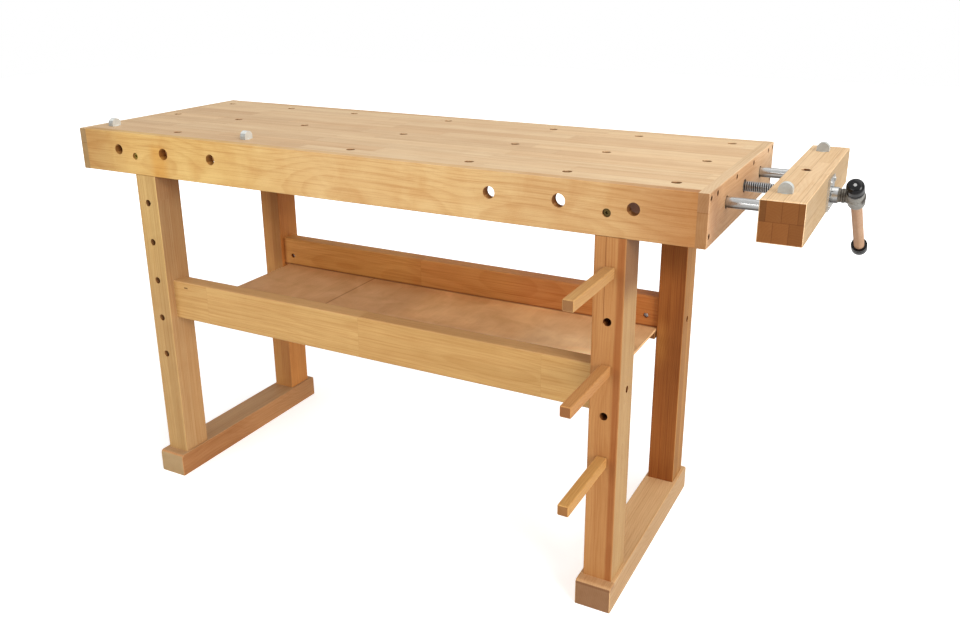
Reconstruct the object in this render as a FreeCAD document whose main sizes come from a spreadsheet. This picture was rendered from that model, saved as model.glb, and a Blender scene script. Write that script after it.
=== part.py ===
import FreeCAD, Part
import os
import re

import Sketcher

# A woodworking bench with an end vise, in millimetres.  X runs along the bench from its left
# end, Y from its front face to the back, Z up from the floor.  The finished model is shifted
# so that its origin is on the floor under the middle of its overall box.

SIZES = [
    # worktop
    ("bench_length", 1500, "worktop length, end cap to end cap"),
    ("bench_depth", 525, "worktop depth, front apron to back apron"),
    ("bench_height", 860, "floor to worktop"),
    ("slab_thickness", 20, "glued worktop panel"),
    ("apron_thickness", 20, "front and back apron boards"),
    ("apron_height", 96, "aprons and end caps, flush with the worktop"),
    ("cap_thickness", 20, "end cap boards"),
    ("edge_ease", 1.5, "chamfer along the handled edges"),
    # end cap screws
    ("cap_screw_pitch", 140, "spacing of the screws into the panel"),
    ("corner_screw_low", 76, "lower corner screw, down from the worktop"),
    ("cap_counterbore", 11, "diameter of the sunk screw holes"),
    ("cap_sink", 7, "depth of the sunk screw holes"),
    ("wood_screw", 5, "wood screw shank diameter"),
    ("wood_screw_head", 9, "wood screw head diameter"),
    ("wood_screw_head_height", 3, "wood screw head height"),
    ("wood_screw_length", 32, "wood screw length under its head"),
    # dog holes
    ("dog_hole", 19, "bench dog hole diameter"),
    ("dog_pitch", 204, "dog hole spacing along and across the bench"),
    ("dog_first", 54, "first dog hole from the left end"),
    ("dog_last", 74, "last dog hole, from the right end"),
    # leg frames
    ("left_frame", 199, "centre of the left leg frame, from the left end"),
    ("right_frame_inset", 169, "centre of the right leg frame, from the right end"),
    ("leg_width", 60, "leg, along the bench"),
    ("leg_depth", 73, "leg, front to back"),
    ("back_inset", 35, "back leg, in from the back of the worktop"),
    ("foot_width", 74, "foot, along the bench"),
    ("foot_height", 56, "foot height"),
    ("foot_front", 24, "foot, ahead of the front leg"),
    ("foot_back", 18, "foot, behind the back leg"),
    ("foot_round", 8, "rounding of the upper edges at the ends of the feet"),
    ("tenon_width", 30, "leg tenon, along the bench"),
    ("tenon_depth", 36, "leg tenon, front to back"),
    ("tenon_inset", 28, "leg tenon, in from the front face of its leg"),
    ("foot_tenon", 38, "leg tenon, down into the foot"),
    ("rail_tenon", 28, "leg tenon, up into the top rail"),
    ("rail_width", 60, "top rail under the worktop, along the bench"),
    ("rail_shift", 3.5, "top rail, left of the middle of its legs"),
    ("rail_screw_sink", 54, "depth of the sunk holes under a top rail"),
    # stretchers and shelf
    ("stretcher_height", 95, "stretcher height"),
    ("stretcher_thickness", 42, "stretcher thickness"),
    ("stretcher_inset", 20, "stretcher, in from the outer face of the leg"),
    ("stretcher_round", 5, "rounding of the long edges of the stretchers"),
    ("stretcher_rise", 412, "floor to the underside of the stretchers"),
    ("cleat_height", 17, "shelf cleat height, from the underside of the stretchers"),
    ("shelf_thickness", 6, "plywood shelf"),
    ("shelf_left_gap", 19, "left leg to the shelf"),
    ("shelf_right_gap", 2, "shelf to the right leg"),
    ("cleat_width", 16, "shelf cleat, front to back"),
    # stretcher bolts
    ("bolt", 8, "furniture bolt shank diameter"),
    ("bolt_head", 13, "furniture bolt head diameter"),
    ("bolt_head_height", 6, "furniture bolt head height"),
    ("bolt_socket", 6, "hexagon socket, across its flats"),
    ("socket_depth", 3.5, "hexagon socket depth"),
    ("leg_counterbore", 14, "diameter of the sunk bolt holes in the legs"),
    ("apron_counterbore", 16, "diameter of the sunk bolt holes in the apron"),
    ("bolt_sink", 14, "depth of the sunk bolt holes in the legs"),
    ("barrel_nut", 12, "barrel nut diameter"),
    ("barrel_nut_length", 24, "barrel nut length"),
    ("barrel_set", 30, "barrel nut, in from the end of a stretcher"),
    ("bolt_past_nut", 9, "bolt end past the middle of its nut"),
    ("dowel", 10, "alignment dowel diameter"),
    ("dowel_length", 38, "alignment dowel length"),
    ("dowel_spacing", 58, "alignment dowels of one joint, centre to centre"),
    # bolts through the front apron
    ("apron_bolt_drop", 53, "apron bolt, down from the worktop"),
    ("left_bolt_shift", 23, "left apron bolt, left of its frame"),
    ("right_bolt_shift", 9.5, "right apron bolt, left of its frame"),
    ("apron_bolt_sink", 9, "depth of the sunk holes in the apron"),
    ("apron_bolt_length", 50, "apron bolt length under its head"),
    # holes for a front vise, and the end vise
    ("vise_drop", 41, "vise axis, down from the worktop"),
    ("guide_spacing", 140, "vise screw to either guide rod"),
    ("left_vise", 265, "left front vise position, from the left end"),
    ("right_vise", 270, "right front vise position, from the right end"),
    ("rod_hole", 24, "guide rod hole through an apron or cap"),
    ("screw_hole", 26, "vise screw hole through an apron or cap"),
    ("vise_opening", 78, "jaw to end cap, as the vise stands"),
    ("jaw_width", 74, "jaw, along the bench"),
    ("jaw_height", 73, "jaw height, its top level with the worktop"),
    ("jaw_length", 520, "jaw, front to back"),
    ("jaw_dog_inset", 30, "jaw dog holes, in from the gripping face"),
    ("jaw_dog_pitch", 200, "jaw dog hole spacing"),
    ("dog_hole_floor", 8, "middle dog hole of the jaw, above its vise screw"),
    ("guide_rod", 20, "guide rod diameter"),
    ("rod_in_jaw", 52, "guide rod length held in the jaw"),
    ("rod_reach", 226, "guide rod, from the jaw back under the bench"),
    ("vise_screw", 20, "vise screw diameter"),
    ("thread_pitch", 4, "vise screw pitch, one start, right hand"),
    ("thread_depth", 2, "thread depth"),
    ("thread_root", 1.4, "groove width at its bottom"),
    ("thread_mouth", 2.4, "groove width at the screw surface"),
    ("thread_clear", 0.3, "clearance between screw thread and nut"),
    ("screw_reach", 214, "threaded length inside the jaw"),
    ("nut_plate", 74, "vise nut plate, front to back"),
    ("nut_plate_height", 38, "vise nut and bushing plates, upright"),
    ("nut_plate_thickness", 8, "vise nut plate thickness"),
    ("nut_boss", 36, "vise nut boss diameter"),
    ("nut_length", 34, "vise nut, plate and boss together"),
    ("bushing_plate", 64, "guide rod bushing plate, front to back"),
    ("bushing_plate_thickness", 5, "guide rod bushing plate thickness"),
    ("bushing_length", 62, "guide rod bushing, plate and barrel together"),
    ("bushing_wall", 4, "guide rod bushing wall"),
    ("small_screw", 4, "plate screw shank diameter"),
    ("small_screw_head", 8, "plate screw head diameter"),
    ("small_screw_head_height", 2.4, "plate screw head height"),
    ("small_screw_length", 14, "plate screw length in the wood"),
    # handle end of the vise
    ("flange", 60, "square plate on the outer face of the jaw"),
    ("flange_rise", 3, "middle of that plate above the vise axis"),
    ("flange_thickness", 4, "thickness of that plate"),
    ("plate_screw_inset", 8, "plate screws, in from the plate edge"),
    ("collar", 30, "collar diameter"),
    ("collar_length", 11.7, "collar length"),
    ("retaining_ring", 32, "retaining ring diameter"),
    ("retaining_ring_length", 7, "retaining ring length"),
    ("recess_depth", 10, "recess for the retaining ring in the jaw"),
    ("recess_clear", 2, "recess radius past the retaining ring"),
    ("ring_pin", 4, "spring pin diameter"),
    ("rod_pin", 6, "pin up through the jaw and a guide rod"),
    ("rod_pin_length", 44, "guide rod pin length"),
    ("rod_pin_set", 26, "guide rod pin, in from the gripping face"),
    ("hub_reach", 46, "outer face of the jaw to the middle of the hub"),
    ("hub_ball", 34, "hub diameter"),
    ("hub_neck", 26, "hub neck diameter"),
    ("hub_barrel", 31, "cross barrel diameter"),
    ("hub_barrel_length", 46, "cross barrel length"),
    ("neck_groove", 1.2, "depth of the grooves turned in the neck"),
    ("neck_groove_width", 2, "width of those grooves"),
    ("spigot", 16, "end of the vise screw inside the hub"),
    ("spigot_length", 18, "length of that end"),
    ("hub_pin", 5, "pin through hub and screw"),
    ("bar_round", 20, "handle bar diameter"),
    ("bar_tilt", 53.3, "handle bar, from upright towards the front"),
    ("bar_below", 233, "hub middle to the lower knob"),
    ("knob", 31, "knob diameter"),
    ("knob_length", 27, "knob length"),
    ("knob_dome", 9, "rounding of the knob's end"),
    ("knob_lift", 1, "knob above the hub's barrel, when the bar is right down"),
    ("knob_socket", 14, "bar length inside a knob"),
    ("knob_groove", 1.4, "depth of the groove behind the knob's rim"),
    ("knob_groove_width", 2.5, "width of that groove"),
    ("knob_rim", 4, "width of the rim"),
    ("knob_screw_head", 6, "screw head in the end of a knob"),
    ("knob_screw_length", 24, "knob screw length"),
    # bench dogs
    ("dog_post_clear", 0.3, "dog post to its hole, on the radius"),
    ("dog_head_width", 14, "dog head, between its flat faces"),
    ("dog_head_depth", 24, "dog head, across its arch"),
    ("dog_head_height", 18, "dog head height"),
    ("dog_post_length", 75, "dog post below its head"),
    # pegs in the front leg
    ("peg_hole", 16, "peg hole diameter"),
    ("peg_hole_depth", 62, "peg hole depth"),
    ("peg_drop", 65, "apron down to the top peg hole"),
    ("peg_pitch", 95, "peg hole spacing"),
    ("peg_square", 21, "peg section"),
    ("peg_length", 190, "peg, out from the leg"),
    ("peg_tenon_length", 58, "round tenon of a peg"),
    ("peg_chamfer", 1.5, "chamfer on the pegs"),
    ("peg_clear", 0.3, "peg tenon to its hole, on the radius"),
    # clearances
    ("seat_gap", 0.3, "between a loose piece and what it rests on"),
    ("slide_fit", 0.08, "guide rod to bushing, on the radius"),
    ("bore_fit", 0.1, "fixed pin or bolt to its hole, on the radius"),
    ("turn_clear", 0.5, "turning or sliding part to its hole, on the radius"),
]

# Sizes that follow from the ones above.
FORMULAS = [
    ("worktop_under", "bench_height - slab_thickness"),
    ("rail_height", "apron_height - slab_thickness"),
    ("panel_screw_depth", "wood_screw_length + seat_gap - cap_thickness + cap_sink"),
    ("apron_under", "bench_height - apron_height"),
    ("panel_length", "bench_length - 2 * cap_thickness"),
    ("panel_depth", "bench_depth - 2 * apron_thickness"),
    ("middle_y", "bench_depth / 2"),
    ("dog_middle", "(bench_length - dog_first - dog_last - 4 * dog_pitch) / 2"),
    ("right_frame", "bench_length - right_frame_inset"),
    ("peg_top", "bench_height - apron_height - peg_drop"),
    ("vise_axis", "bench_height - vise_drop"),
    ("back_leg", "bench_depth - back_inset - leg_depth"),
    ("back_stretcher", "bench_depth - back_inset - stretcher_inset - stretcher_thickness"),
    ("stretcher_start", "left_frame + leg_width / 2"),
    ("stretcher_length", "right_frame - left_frame - leg_width"),
    ("stretcher_middle", "stretcher_rise + stretcher_height / 2"),
    ("shelf_length", "stretcher_length - shelf_left_gap - shelf_right_gap"),
    ("shelf_under", "stretcher_rise + cleat_height"),
    ("jaw_face", "bench_length + vise_opening"),
    ("jaw_outside", "bench_length + vise_opening + jaw_width"),
    ("jaw_under", "bench_height - jaw_height"),
    ("jaw_front", "bench_depth / 2 - jaw_length / 2"),
    ("cap_inside", "bench_length - cap_thickness"),
    ("spigot_start", "flange_thickness + seat_gap + collar_length"),
    ("knob_seat", "hub_barrel_length / 2 + knob_lift + seat_gap"),
    ("origin_x", "(bench_length + vise_opening + jaw_width + hub_reach + hub_ball / 2) / 2"),
    ("origin_y", "(bench_depth - peg_length - seat_gap) / 2"),
]

ALIASES = {row[0] for row in SIZES + FORMULAS}
X_AXIS = FreeCAD.Vector(1, 0, 0)
Y_AXIS = FreeCAD.Vector(0, 1, 0)
Z_AXIS = FreeCAD.Vector(0, 0, 1)
NO_TURN = FreeCAD.Rotation()
QUARTER_TURN = FreeCAD.Rotation(Z_AXIS, 90)
Z_TO_X = FreeCAD.Rotation(Y_AXIS, 90)
Z_TO_Y = FreeCAD.Rotation(X_AXIS, -90)
TURNS = {"X": Z_TO_X, "Y": Z_TO_Y, "Z": NO_TURN}
# For a hole along each axis: the sketch plane across it, and which way that plane's normal points.
PLANES = {"X": ("YZ_Plane", 1), "Y": ("XZ_Plane", -1), "Z": ("XY_Plane", 1)}
NEAR = 0.01

doc = FreeCAD.newDocument("workbench")
sheet = doc.addObject("Spreadsheet::Sheet", "Sizes")
nodes = []


def in_sheet(formula):
    """Write each size in a formula as a cell of the sheet."""
    return re.sub(r"[a-z_]+", lambda word: "Sizes." * (word[0] in ALIASES) + word[0], str(formula))


def fill_sheet():
    for row, (alias, value, meaning) in enumerate(SIZES, start=1):
        sheet.set("A%d" % row, meaning)
        sheet.set("B%d" % row, str(value))
        sheet.setAlias("B%d" % row, alias)
    doc.recompute()
    for row, (alias, formula) in enumerate(FORMULAS, start=len(SIZES) + 2):
        sheet.set("A%d" % row, alias.replace("_", " "))
        sheet.set("B%d" % row, "=" + formula)
        sheet.setAlias("B%d" % row, alias)
    doc.recompute()


def size(alias):
    """The number in a cell, for the shapes that are made in code."""
    return float(getattr(sheet, alias))


def bind(thing, prop, formula):
    thing.setExpression(prop, in_sheet(formula))


def put(thing, x, y, z, turn=NO_TURN):
    """Place a part, given in bench coordinates, about the model's origin."""
    thing.Placement = FreeCAD.Placement(FreeCAD.Vector(), turn)
    bind(thing, "Placement.Base.x", "%s - origin_x" % x)
    bind(thing, "Placement.Base.y", "%s - origin_y" % y)
    bind(thing, "Placement.Base.z", z)
    return thing


def node(thing, label):
    thing.Label = label
    nodes.append(thing)
    return thing


# ---- wooden pieces: a sketched rectangle, padded, drilled and eased ----

def sketch_across(body, axis, at="0"):
    """A sketch across an axis of the body, at a distance along that axis."""
    role, side = PLANES[axis]
    plane = [f for f in body.Origin.OriginFeatures if f.Role == role][0]
    sketch = body.newObject("Sketcher::SketchObject", "Sketch")
    sketch.AttachmentSupport = [(plane, "")]
    sketch.MapMode = "FlatFace"
    bind(sketch, "AttachmentOffset.Base.z", "%d * (%s)" % (side, at))
    return sketch


def length_constraint(sketch, kind, ends, formula):
    """A driving length between sketch points, bound to a formula of sizes."""
    number = sketch.addConstraint(Sketcher.Constraint(kind, *ends, 5.0))
    bind(sketch, "Constraints[%d]" % number, formula)


def rectangle(sketch, across, up, left=None, low=None):
    """A rectangle from the sketch origin, or from a corner at left and low."""
    first = sketch.GeometryCount
    corners = [(5, 5), (15, 5), (15, 15), (5, 15)]
    for here, there in zip(corners, corners[1:] + corners[:1]):
        line = Part.LineSegment(FreeCAD.Vector(*here, 0), FreeCAD.Vector(*there, 0))
        sketch.addGeometry(line, False)
    for side in range(4):
        following = first + (side + 1) % 4
        sketch.addConstraint(Sketcher.Constraint("Coincident", first + side, 2, following, 1))
        sketch.addConstraint(Sketcher.Constraint(("Horizontal", "Vertical")[side % 2], first + side))
    if left is None:
        sketch.addConstraint(Sketcher.Constraint("Coincident", first, 1, -1, 1))
    else:
        length_constraint(sketch, "DistanceX", (-1, 1, first, 1), left)
        length_constraint(sketch, "DistanceY", (-1, 1, first, 1), low)
    length_constraint(sketch, "DistanceX", (first, 1, first, 2), across)
    length_constraint(sketch, "DistanceY", (first + 1, 1, first + 1, 2), up)


def circle(sketch, u, v, diameter):
    shape = Part.Circle(FreeCAD.Vector(10, 10, 0), Z_AXIS, 3)
    number = sketch.addGeometry(shape, False)
    length_constraint(sketch, "DistanceX", (-1, 1, number, 3), u)
    length_constraint(sketch, "DistanceY", (-1, 1, number, 3), v)
    length_constraint(sketch, "Diameter", (number,), diameter)


def board(label, x, y, z, along, deep, high):
    """A squared wooden piece with its lowest corner at x, y, z."""
    body = doc.addObject("PartDesign::Body", label)
    sketch = sketch_across(body, "Z")
    rectangle(sketch, along, deep)
    pad = body.newObject("PartDesign::Pad", "Pad")
    pad.Profile = sketch
    bind(pad, "Length", high)
    doc.recompute()
    put(body, x, y, z)
    return node(body, label)


def cut_sketch(body, axis, sketch, depth, backwards):
    """Cut a sketch into the body along an axis, through it if no depth is given."""
    before = body.Shape.Volume
    pocket = body.newObject("PartDesign::Pocket", "Pocket")
    pocket.Profile = sketch
    pocket.Reversed = (PLANES[axis][1] > 0) != backwards
    if depth is None:
        pocket.Type = "ThroughAll"
    else:
        bind(pocket, "Length", depth)
    doc.recompute()
    if body.Shape.Volume > before - NEAR:
        raise RuntimeError("a cut in %s removes nothing" % body.Label)


def drill(body, axis, spots, diameter, depth=None, start="0", backwards=False):
    """Round holes along an axis, from start on, at each (u, v) across it."""
    sketch = sketch_across(body, axis, start)
    for u, v in spots:
        circle(sketch, u, v, diameter)
    cut_sketch(body, axis, sketch, depth, backwards)


def ease(body, chosen, amount="edge_ease", shape="Chamfer"):
    """Chamfer or fillet the edges of the body that the test chooses by their box."""
    solid = body.Tip
    whole = solid.Shape.BoundBox
    names = []
    for number, edge in enumerate(solid.Shape.Edges, start=1):
        if edge.Curve.TypeId == "Part::GeomLine" and chosen(edge.BoundBox, whole):
            names.append("Edge%d" % number)
    feature = body.newObject("PartDesign::" + shape, shape)
    feature.Base = (solid, names)
    bind(feature, "Radius" if shape == "Fillet" else "Size", amount)
    doc.recompute()


def lies_on(low, high, wall):
    """Whether an edge, from low to high on one axis, lies in a wall across it."""
    return abs(low - wall) < NEAR and abs(high - wall) < NEAR


# ---- metal and turned pieces: primitives and booleans ----

def cylinder(diameter, length, x="0", y="0", z="0", axis="Z"):
    rod = doc.addObject("Part::Cylinder", "Cylinder")
    rod.Placement = FreeCAD.Placement(FreeCAD.Vector(), TURNS[axis])
    bind(rod, "Radius", "(%s) / 2" % diameter)
    bind(rod, "Height", length)
    bind(rod, "Placement.Base.x", x)
    bind(rod, "Placement.Base.y", y)
    bind(rod, "Placement.Base.z", z)
    return rod


def block(along, deep, high, x="0", y="0", z="0"):
    box = doc.addObject("Part::Box", "Box")
    for prop, formula in (("Length", along), ("Width", deep), ("Height", high)):
        bind(box, prop, formula)
    bind(box, "Placement.Base.x", x)
    bind(box, "Placement.Base.y", y)
    bind(box, "Placement.Base.z", z)
    return box


def fuse(pieces):
    if len(pieces) == 1:
        return pieces[0]
    whole = doc.addObject("Part::MultiFuse", "Fuse")
    whole.Shapes = pieces
    whole.Refine = True
    return whole


def minus(base, tools):
    rest = doc.addObject("Part::Cut", "Cut")
    rest.Base = base
    rest.Tool = fuse(tools)
    return rest


def group(pieces):
    """Separate solids that are one node."""
    several = doc.addObject("Part::Compound", "Group")
    several.Links = pieces
    return several


# ---- worktop ----

def dog_columns():
    """Dog hole positions along the bench, from its left end."""
    middle = "dog_first + 2 * dog_pitch + dog_middle"
    columns = ["dog_first + %d * dog_pitch" % step for step in range(3)] + [middle]
    return columns + [middle + " + dog_middle + %d * dog_pitch" % step for step in range(3)]


def dog_rows():
    return ["middle_y + %d * dog_pitch" % step for step in (-1, 0, 1)]


def make_worktop():
    slab = board("top_slab", "cap_thickness", "apron_thickness", "worktop_under",
                 "panel_length", "panel_depth", "slab_thickness")
    spots = [("%s - cap_thickness" % x, "%s - apron_thickness" % y)
             for x in dog_columns() for y in dog_rows()]
    drill(slab, "Z", spots, "dog_hole")
    for side in (-1, 1):
        across = cap_screw_rows("apron_thickness")
        level = "slab_thickness / 2"
        start = "0" if side < 0 else "panel_length"
        drill(slab, "X", [(y, level) for y in across], "wood_screw + 2 * bore_fit",
              "panel_screw_depth", start, side > 0)
    rail_spots = [("%s - rail_shift - cap_thickness" % x, "%s - apron_thickness" % y)
                  for x in ("left_frame", "right_frame") for y in rail_screw_rows()]
    drill(slab, "Z", rail_spots, "wood_screw + 2 * bore_fit",
          "rail_screw_sink + wood_screw_length + seat_gap - rail_height")


def cap_screw_rows(origin):
    """The four screws through an end cap into the panel."""
    return ["middle_y + %.1f * cap_screw_pitch - %s" % (step, origin)
            for step in (-1.5, -0.5, 0.5, 1.5)]


def rail_screw_rows():
    return ["middle_y - guide_spacing / 2", "middle_y + guide_spacing / 2"]


def make_aprons():
    for label, y in (("front_apron", "0"), ("back_apron", "bench_depth - apron_thickness")):
        apron = board(label, "cap_thickness", y, "apron_under",
                      "panel_length", "apron_thickness", "apron_height")
        for side in (-1, 1):
            levels = ["apron_height - slab_thickness / 2", "apron_height - corner_screw_low"]
            start = "0" if side < 0 else "panel_length"
            drill(apron, "X", [("apron_thickness / 2", z) for z in levels],
                  "wood_screw + 2 * bore_fit",
                  "panel_screw_depth", start, side > 0)
        if label == "front_apron":
            drill_front_apron(apron)
            wall = "YMin"
        else:
            wall = "YMax"
        ease(apron, lambda edge, whole: edge.XLength > whole.XLength / 2
             and lies_on(edge.YMin, edge.YMax, getattr(whole, wall)))


def drill_front_apron(apron):
    """Holes for a front vise at either end, and for the bolts into the front legs."""
    level = "vise_axis - apron_under"
    middles = ["left_vise - cap_thickness", "bench_length - right_vise - cap_thickness"]
    drill(apron, "Y", [(x, level) for x in middles], "screw_hole")
    rods = ["%s %s guide_spacing" % (x, side) for x in middles for side in "-+"]
    drill(apron, "Y", [(x, level) for x in rods], "rod_hole")
    spots = [("%s - cap_thickness" % x, "apron_height - apron_bolt_drop") for x in apron_bolts()]
    drill(apron, "Y", spots, "apron_counterbore", "apron_bolt_sink")
    drill(apron, "Y", spots, "bolt + 2 * bore_fit")


def apron_bolts():
    return ["left_frame - left_bolt_shift", "right_frame - right_bolt_shift"]


def make_end_caps():
    rows = cap_screw_rows("0")
    spots = [(y, "apron_height - slab_thickness / 2") for y in rows]
    for y in ("apron_thickness / 2", "bench_depth - apron_thickness / 2"):
        spots.append((y, "apron_height - slab_thickness / 2"))
        spots.append((y, "apron_height - corner_screw_low"))
    for label, x in (("left_end_cap", "0"), ("right_end_cap", "cap_inside")):
        cap = board(label, x, "0", "apron_under", "cap_thickness", "bench_depth", "apron_height")
        outer = "cap_thickness" if label == "right_end_cap" else "0"
        drill(cap, "X", spots, "cap_counterbore", "cap_sink", outer, label == "right_end_cap")
        drill(cap, "X", spots, "wood_screw + 2 * bore_fit")
        if label == "right_end_cap":
            level = "vise_axis - apron_under"
            drill(cap, "X", [("middle_y", level)], "screw_hole")
            rods = [("middle_y %s guide_spacing" % side, level) for side in "-+"]
            drill(cap, "X", rods, "rod_hole")
            drill(cap, "X", plate_screw_spots(level), "small_screw + 2 * bore_fit",
                  "small_screw_length + seat_gap")
            drill(cap, "X", bushing_screw_spots(level), "small_screw + 2 * bore_fit",
                  "small_screw_length + seat_gap")
        wall = "XMax" if label == "right_end_cap" else "XMin"
        ease(cap, lambda edge, whole: lies_on(edge.XMin, edge.XMax, getattr(whole, wall)))


def plate_screw_spots(level):
    """Four screws of the nut plate, about the vise screw."""
    across = "(nut_plate / 2 - plate_screw_inset)"
    up = "(nut_plate_height / 2 - plate_screw_inset)"
    return [("middle_y %s %s" % (a, across), "%s %s %s" % (level, b, up)) for a in "-+" for b in "-+"]


def bushing_screw_spots(level):
    """Two screws of each bushing plate, either side of its rod."""
    across = "(bushing_plate / 2 - plate_screw_inset)"
    rods = ["middle_y %s guide_spacing" % side for side in "-+"]
    return [("%s %s %s" % (rod, side, across), level) for rod in rods for side in "-+"]


def screw_along(y, z, seat, inward, kind="wood_screw"):
    """A screw along X from its seat, inward being +1 or -1, the head on the outer side."""
    length, head_height = kind + "_length", kind + "_head_height"
    start = seat if inward > 0 else "%s - %s" % (seat, length)
    head_start = "%s - %s" % (seat, head_height) if inward > 0 else seat
    shank = cylinder(kind, length, start, y, z, "X")
    head = cylinder(kind + "_head", head_height, head_start, y, z, "X")
    return fuse([shank, head])


def make_end_cap_screws():
    screws = []
    for seat, inward in (("cap_sink", 1), ("bench_length - cap_sink", -1)):
        for y in cap_screw_rows("0"):
            screws.append(screw_along(y, "bench_height - slab_thickness / 2", seat, inward))
        for y in ("apron_thickness / 2", "bench_depth - apron_thickness / 2"):
            for drop in ("slab_thickness / 2", "corner_screw_low"):
                screws.append(screw_along(y, "bench_height - %s" % drop, seat, inward))
    node(put(group(screws), "0", "0", "0"), "end_cap_screws")


# ---- leg frames ----

def grow(body, axis, sketch, length, backwards=False):
    """Pad a sketch on the body, along an axis or against it."""
    before = body.Shape.Volume
    pad = body.newObject("PartDesign::Pad", "Pad")
    pad.Profile = sketch
    pad.Reversed = (PLANES[axis][1] < 0) != backwards
    bind(pad, "Length", length)
    doc.recompute()
    if body.Shape.Volume < before + NEAR:
        raise RuntimeError("a pad on %s adds nothing" % body.Label)


def mortise(body, axis, u, v, across, up, depth, start="0", backwards=False):
    """A rectangular hole along an axis, its lowest corner at (u, v)."""
    sketch = sketch_across(body, axis, start)
    rectangle(sketch, across, up, u, v)
    cut_sketch(body, axis, sketch, depth, backwards)


def make_leg(label, middle, front, bolt_side):
    """A leg with a tenon at each end; bolt_side is the side facing away from the stretchers."""
    leg = board(label, "%s - leg_width / 2" % middle, front, "foot_height",
                "leg_width", "leg_depth", "apron_under - foot_height")
    side = "(leg_width - tenon_width) / 2"
    for start, length, down in (("0", "foot_tenon", True),
                                ("apron_under - foot_height", "rail_tenon", False)):
        sketch = sketch_across(leg, "Z", start)
        rectangle(sketch, "tenon_width", "tenon_depth", side, "tenon_inset")
        grow(leg, "Z", sketch, length, down)
    if front == "0":
        across = "stretcher_inset + stretcher_thickness / 2"
    else:
        across = "leg_depth - stretcher_inset - stretcher_thickness / 2"
    level = "stretcher_middle - foot_height"
    outer, inner = ("0", "leg_width") if bolt_side < 0 else ("leg_width", "0")
    drill(leg, "X", [(across, level)], "leg_counterbore", "bolt_sink", outer, bolt_side > 0)
    drill(leg, "X", [(across, level)], "bolt + 2 * bore_fit")
    dowels = [(across, "%s %s dowel_spacing / 2" % (level, side)) for side in "-+"]
    drill(leg, "X", dowels, "dowel", "dowel_length / 2", inner, bolt_side < 0)
    if front == "0":
        spots = [("leg_width / 2", "peg_top - %d * peg_pitch - foot_height" % step)
                 for step in range(5)]
        drill(leg, "Y", spots, "peg_hole", "peg_hole_depth")
    ease(leg, lambda edge, whole: edge.ZLength > whole.ZLength / 2)


def make_legs():
    for side, middle, outwards in (("left", "left_frame", -1), ("right", "right_frame", 1)):
        make_leg(side + "_front_leg", middle, "0", outwards)
        make_leg(side + "_back_leg", middle, "back_leg", outwards)


def make_feet():
    for side, middle in (("left", "left_frame"), ("right", "right_frame")):
        foot = board(side + "_foot", "%s - foot_width / 2" % middle, "-foot_front", "0", "foot_width",
                     "foot_front + back_leg + leg_depth + foot_back", "foot_height")
        for leg in ("0", "back_leg"):
            mortise(foot, "Z", "(foot_width - tenon_width) / 2", "foot_front + %s + tenon_inset" % leg,
                    "tenon_width", "tenon_depth", "foot_tenon", "foot_height", True)
        ease(foot, lambda edge, whole: lies_on(edge.ZMin, edge.ZMax, whole.ZMax)
             and edge.XLength > whole.XLength / 2, "foot_round", "Fillet")
        ease(foot, lambda edge, whole: lies_on(edge.ZMin, edge.ZMax, whole.ZMax)
             and edge.YLength > whole.YLength / 2)


def make_rails():
    """Top rails: legs below, worktop above; the right one also passes the end vise."""
    for side, middle, bolt in (("left", "left_frame", "left_bolt_shift"),
                               ("right", "right_frame", "right_bolt_shift")):
        rail = board(side + "_rail", "%s - rail_shift - rail_width / 2" % middle, "apron_thickness",
                     "apron_under", "rail_width", "panel_depth", "rail_height")
        for leg in ("0", "back_leg"):
            mortise(rail, "Z", "(rail_width - tenon_width) / 2 + rail_shift",
                    "%s + tenon_inset - apron_thickness" % leg, "tenon_width", "tenon_depth",
                    "rail_tenon")
        screws = [("rail_width / 2", "%s - apron_thickness" % y) for y in rail_screw_rows()]
        drill(rail, "Z", screws, "cap_counterbore", "rail_screw_sink")
        drill(rail, "Z", screws, "wood_screw + 2 * bore_fit")
        spot = ("rail_width / 2 + rail_shift - %s" % bolt, "apron_height - apron_bolt_drop")
        drill(rail, "Y", [spot], "bolt + 2 * bore_fit",
              "apron_bolt_length + seat_gap - apron_thickness + apron_bolt_sink")
        if side == "right":
            level = "vise_axis - apron_under"
            drill(rail, "X", [("middle_y - apron_thickness", level)], "screw_hole")
            rods = ["middle_y - apron_thickness %s guide_spacing" % sign for sign in "-+"]
            drill(rail, "X", [(y, level) for y in rods], "rod_hole")


def make_rail_screws():
    screws = []
    for middle in ("left_frame - rail_shift", "right_frame - rail_shift"):
        for y in rail_screw_rows():
            seat = "apron_under + rail_screw_sink"
            shank = cylinder("wood_screw", "wood_screw_length", middle, y, seat)
            head = cylinder("wood_screw_head", "wood_screw_head_height", middle, y,
                            "%s - wood_screw_head_height" % seat)
            screws.append(fuse([shank, head]))
    node(put(group(screws), "0", "0", "0"), "rail_screws")


# ---- stretchers, their bolts and the shelf ----

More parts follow.
